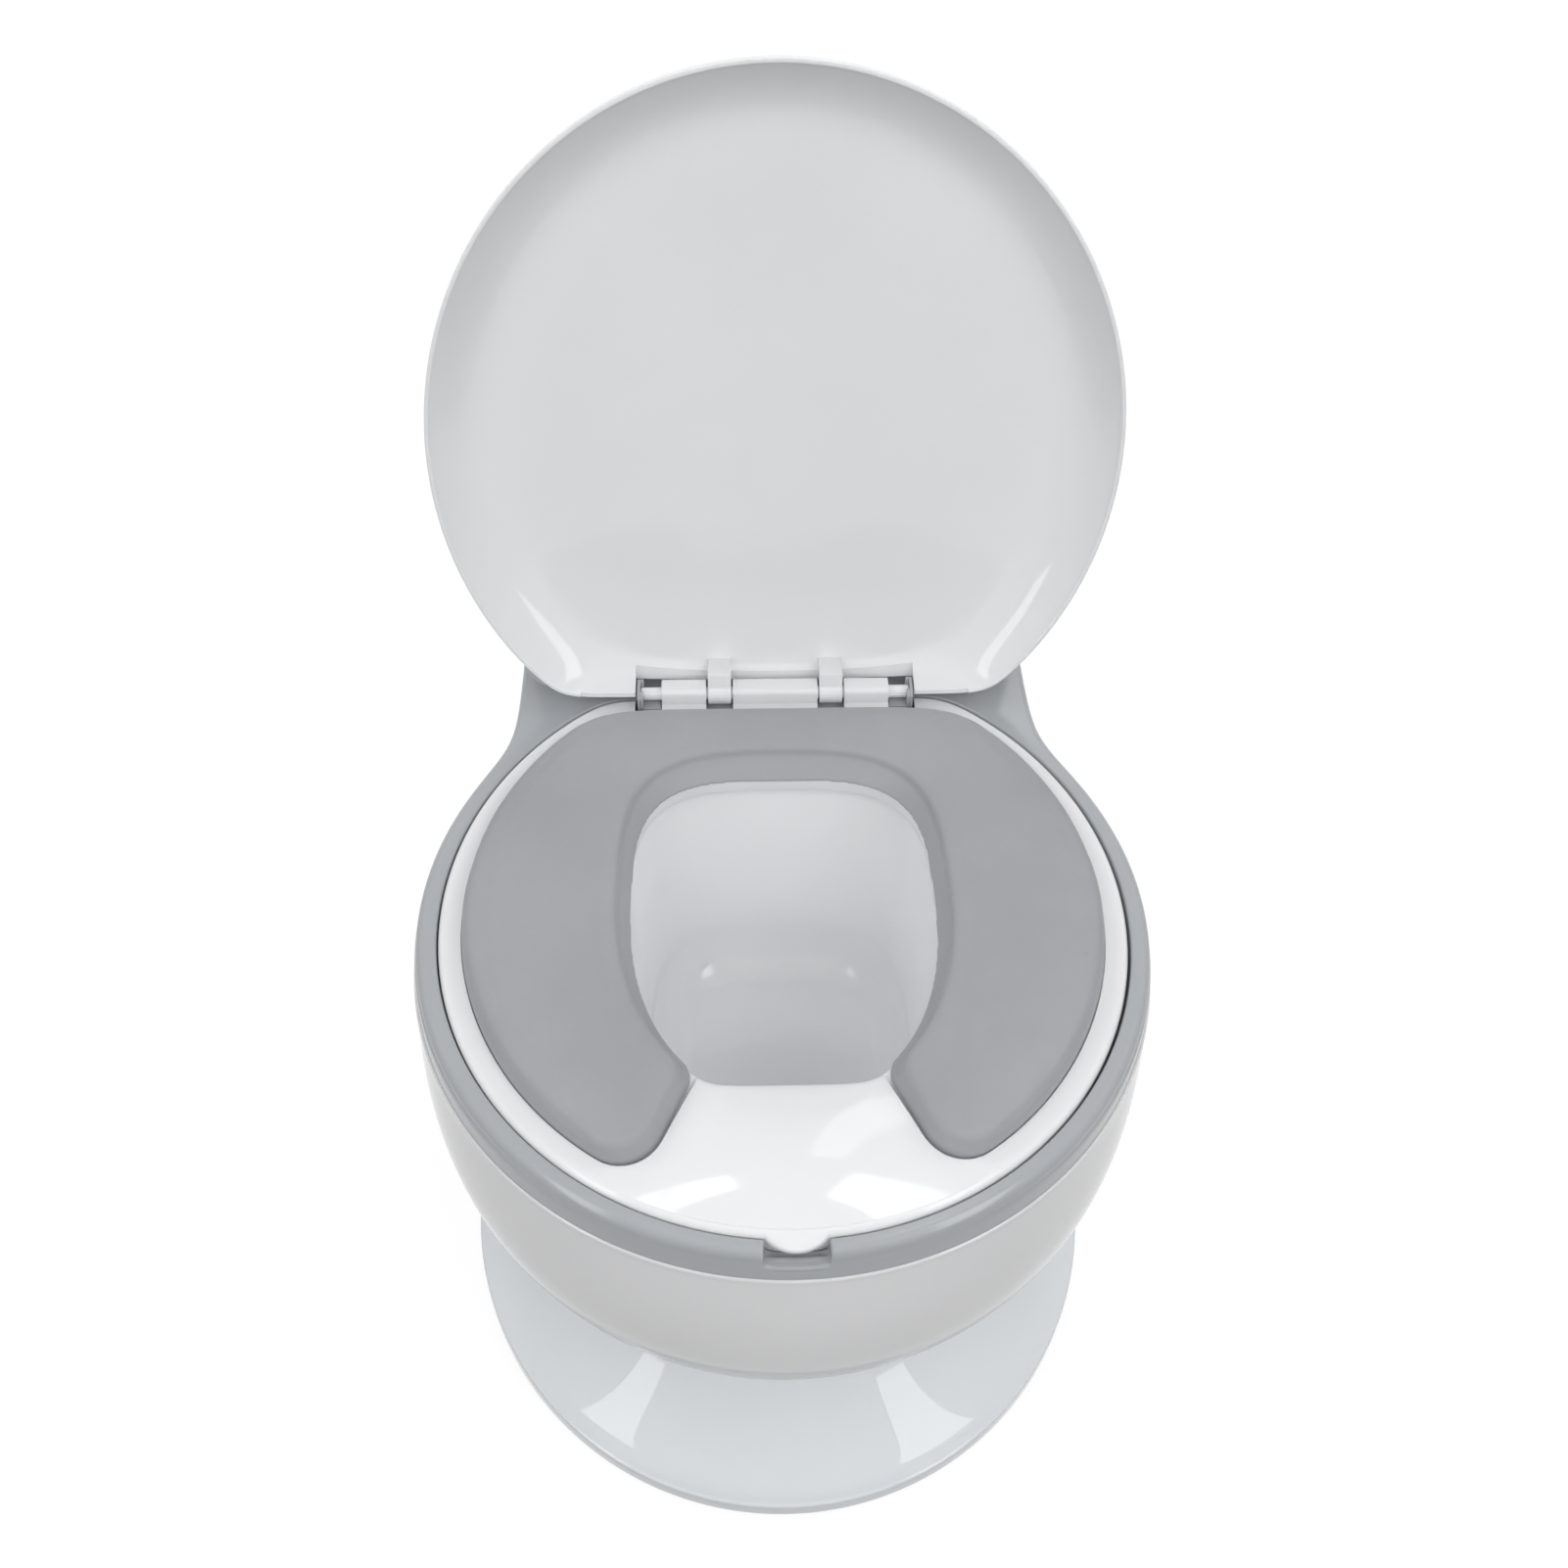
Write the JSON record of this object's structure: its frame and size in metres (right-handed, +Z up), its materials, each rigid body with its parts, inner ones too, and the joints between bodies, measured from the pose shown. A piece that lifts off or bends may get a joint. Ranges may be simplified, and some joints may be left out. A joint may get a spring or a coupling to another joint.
{
  "type": "potty chair",
  "caption": "Toilet-shaped potty chair for a child with a flared foot, a bowl, a lift-out pot, a seat ring with a soft cushion, a tank at the back and a hinged lid",
  "frame": {"origin": "on the floor, under the middle of the whole chair as seen from above with its lid open", "axes": "+Z up, -Y the front of the chair, +Y the tank, +X the left of a seated child"},
  "size_m": [0.3098, 0.4032, 0.4842],
  "materials": {
    "white_plastic": "glossy white moulded plastic",
    "foot_plastic": "very glossy white moulded plastic with a faint cool tone",
    "grey_plastic": "glossy light grey moulded plastic",
    "pot_plastic": "smooth glossy white moulded plastic",
    "cushion_skin": "matte soft grey skin with fine pores over foam",
    "pad_rubber": "matte dark grey rubber",
    "screw_steel": "zinc-plated steel"
  },
  "bodies": {
    "base": {"foot_base": "foot_plastic", "bowl_shell": "white_plastic", "upper_body": "grey_plastic", "tank_cap": "grey_plastic", "foot_pad_1": "pad_rubber", "foot_pad_2": "pad_rubber", "foot_pad_3": "pad_rubber", "foot_pad_4": "pad_rubber", "foot_screw_1": "screw_steel", "foot_screw_2": "screw_steel", "foot_screw_3": "screw_steel", "foot_screw_4": "screw_steel", "body_screw_1": "screw_steel", "body_screw_2": "screw_steel", "body_screw_3": "screw_steel", "body_screw_4": "screw_steel", "body_screw_5": "screw_steel", "body_screw_6": "screw_steel"},
    "seat": {"seat_ring": "white_plastic", "seat_cushion": "cushion_skin", "hinge_pin_left": "white_plastic", "hinge_pin_right": "white_plastic"},
    "lid": {"lid": "white_plastic"},
    "pot": {"pot": "pot_plastic"}
  },
  "joints": [
    {"name": "seat_lift", "type": "slide", "parent": "base", "child": "seat", "axis": [0, 0, 1], "range_m": [0, 0.26]},
    {"name": "lid_hinge", "type": "hinge", "parent": "seat", "child": "lid", "pos_m": [0, 0.0956, 0.209], "axis": [1, 0, 0], "range_deg": [0, 102]},
    {"name": "pot_lift", "type": "slide", "parent": "base", "child": "pot", "axis": [0, 0, 1], "range_m": [0, 0.13]}
  ],
  "couplings": [
    {"joint": "pot_lift", "follows": "seat_lift", "ratio": 0.5}
  ]
}
